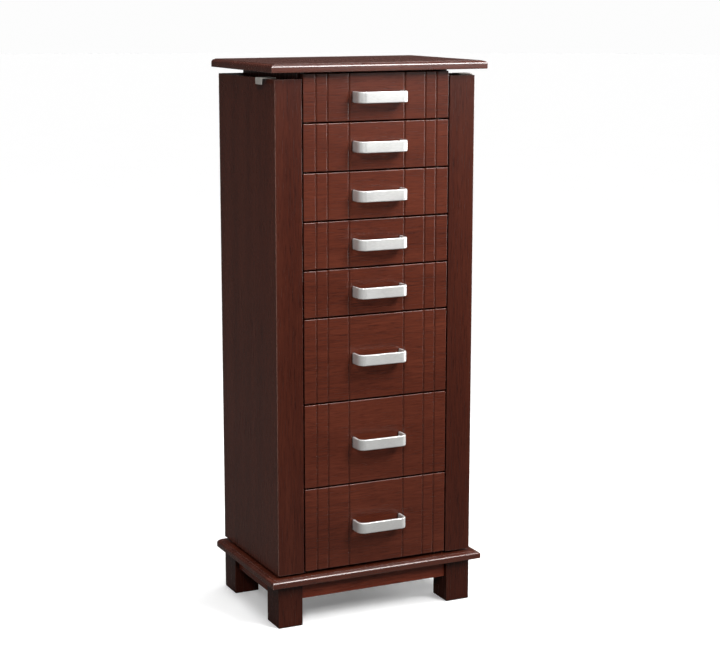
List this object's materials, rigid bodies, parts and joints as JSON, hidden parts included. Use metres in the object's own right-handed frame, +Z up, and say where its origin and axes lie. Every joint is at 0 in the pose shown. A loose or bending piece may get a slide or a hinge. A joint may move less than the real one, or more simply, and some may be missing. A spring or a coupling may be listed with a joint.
{
  "type": "jewellery chest with drawers",
  "caption": "Tall wooden jewellery chest on block feet, with grooved drawers and band pulls, swing-out necklace doors on both sides and a lift-up lid over a divided tray.",
  "frame": {"origin": "on the floor, under the middle of the whole chest", "axes": "+Z up, front with the drawers towards -Y, +X to the right as seen from the front"},
  "size_m": [0.4274, 0.3064, 1.0205],
  "materials": {
    "cherry": "satin stained cherry",
    "cherry_front": "satin stained cherry, horizontal grain",
    "cherry_lid": "satin stained cherry",
    "birch": "plain",
    "pull_metal": "satin, near white",
    "steel": "satin",
    "nickel": "satin nickel",
    "catch": "matte",
    "mirror": "silvered glass"
  },
  "bodies": {
    "case": {"foot_front_left": "cherry", "foot_front_right": "cherry", "foot_back_left": "cherry", "foot_back_right": "cherry", "apron_front": "cherry", "apron_left": "cherry", "apron_right": "cherry", "base_board": "cherry", "case_wall_left": "cherry", "case_wall_right": "cherry", "back_board": "cherry", "runner_ladder_left": "birch", "runner_ladder_right": "birch", "top_tray": "birch", "door_catch_left": "catch", "door_catch_right": "catch", "left_upper_hinge_case_leaf": "nickel", "left_lower_hinge_case_leaf": "nickel", "right_upper_hinge_case_leaf": "nickel", "right_lower_hinge_case_leaf": "nickel", "lid_hinge_case_leaf": "nickel"},
    "drawer_1": {"drawer_1_front": "cherry_front", "drawer_1_box": "birch", "drawer_1_pull": "pull_metal"},
    "drawer_2": {"drawer_2_front": "cherry_front", "drawer_2_box": "birch", "drawer_2_pull": "pull_metal"},
    "drawer_3": {"drawer_3_front": "cherry_front", "drawer_3_box": "birch", "drawer_3_pull": "pull_metal"},
    "drawer_4": {"drawer_4_front": "cherry_front", "drawer_4_box": "birch", "drawer_4_pull": "pull_metal"},
    "drawer_5": {"drawer_5_front": "cherry_front", "drawer_5_box": "birch", "drawer_5_pull": "pull_metal"},
    "drawer_6": {"drawer_6_front": "cherry_front", "drawer_6_box": "birch", "drawer_6_pull": "pull_metal"},
    "drawer_7": {"drawer_7_front": "cherry_front", "drawer_7_box": "birch", "drawer_7_pull": "pull_metal"},
    "drawer_8": {"drawer_8_front": "cherry_front", "drawer_8_box": "birch", "drawer_8_pull": "pull_metal"},
    "left_door": {"left_door_pilaster": "cherry", "left_door_panel": "cherry", "left_door_finger_pull": "steel", "left_door_hook_rail": "nickel", "left_upper_hinge_door_leaf": "nickel", "left_lower_hinge_door_leaf": "nickel"},
    "right_door": {"right_door_pilaster": "cherry", "right_door_panel": "cherry", "right_door_finger_pull": "steel", "right_door_hook_rail": "nickel", "right_upper_hinge_door_leaf": "nickel", "right_lower_hinge_door_leaf": "nickel"},
    "lid": {"lid_board": "cherry_lid", "lid_mirror": "mirror", "lid_hinge_lid_leaf": "nickel"}
  },
  "joints": [
    {"name": "drawer_1_slide", "type": "slide", "parent": "case", "child": "drawer_1", "axis": [0, -1, 0], "range_m": [0, 0.16]},
    {"name": "drawer_2_slide", "type": "slide", "parent": "case", "child": "drawer_2", "axis": [0, -1, 0], "range_m": [0, 0.16]},
    {"name": "drawer_3_slide", "type": "slide", "parent": "case", "child": "drawer_3", "axis": [0, -1, 0], "range_m": [0, 0.16]},
    {"name": "drawer_4_slide", "type": "slide", "parent": "case", "child": "drawer_4", "axis": [0, -1, 0], "range_m": [0, 0.16]},
    {"name": "drawer_5_slide", "type": "slide", "parent": "case", "child": "drawer_5", "axis": [0, -1, 0], "range_m": [0, 0.16]},
    {"name": "drawer_6_slide", "type": "slide", "parent": "case", "child": "drawer_6", "axis": [0, -1, 0], "range_m": [0, 0.16]},
    {"name": "drawer_7_slide", "type": "slide", "parent": "case", "child": "drawer_7", "axis": [0, -1, 0], "range_m": [0, 0.16]},
    {"name": "drawer_8_slide", "type": "slide", "parent": "case", "child": "drawer_8", "axis": [0, -1, 0], "range_m": [0, 0.16]},
    {"name": "left_door_hinge", "type": "hinge", "parent": "case", "child": "left_door", "pos_m": [-0.18085, 0.15015, 0.54675], "axis": [0, 0, -1], "range_deg": [0, 105]},
    {"name": "right_door_hinge", "type": "hinge", "parent": "case", "child": "right_door", "pos_m": [0.18085, 0.15015, 0.54675], "axis": [0, 0, 1], "range_deg": [0, 105]},
    {"name": "lid_hinge", "type": "hinge", "parent": "case", "child": "lid", "pos_m": [0, 0.15015, 1.00535], "axis": [-1, 0, 0], "range_deg": [0, 100]}
  ]
}
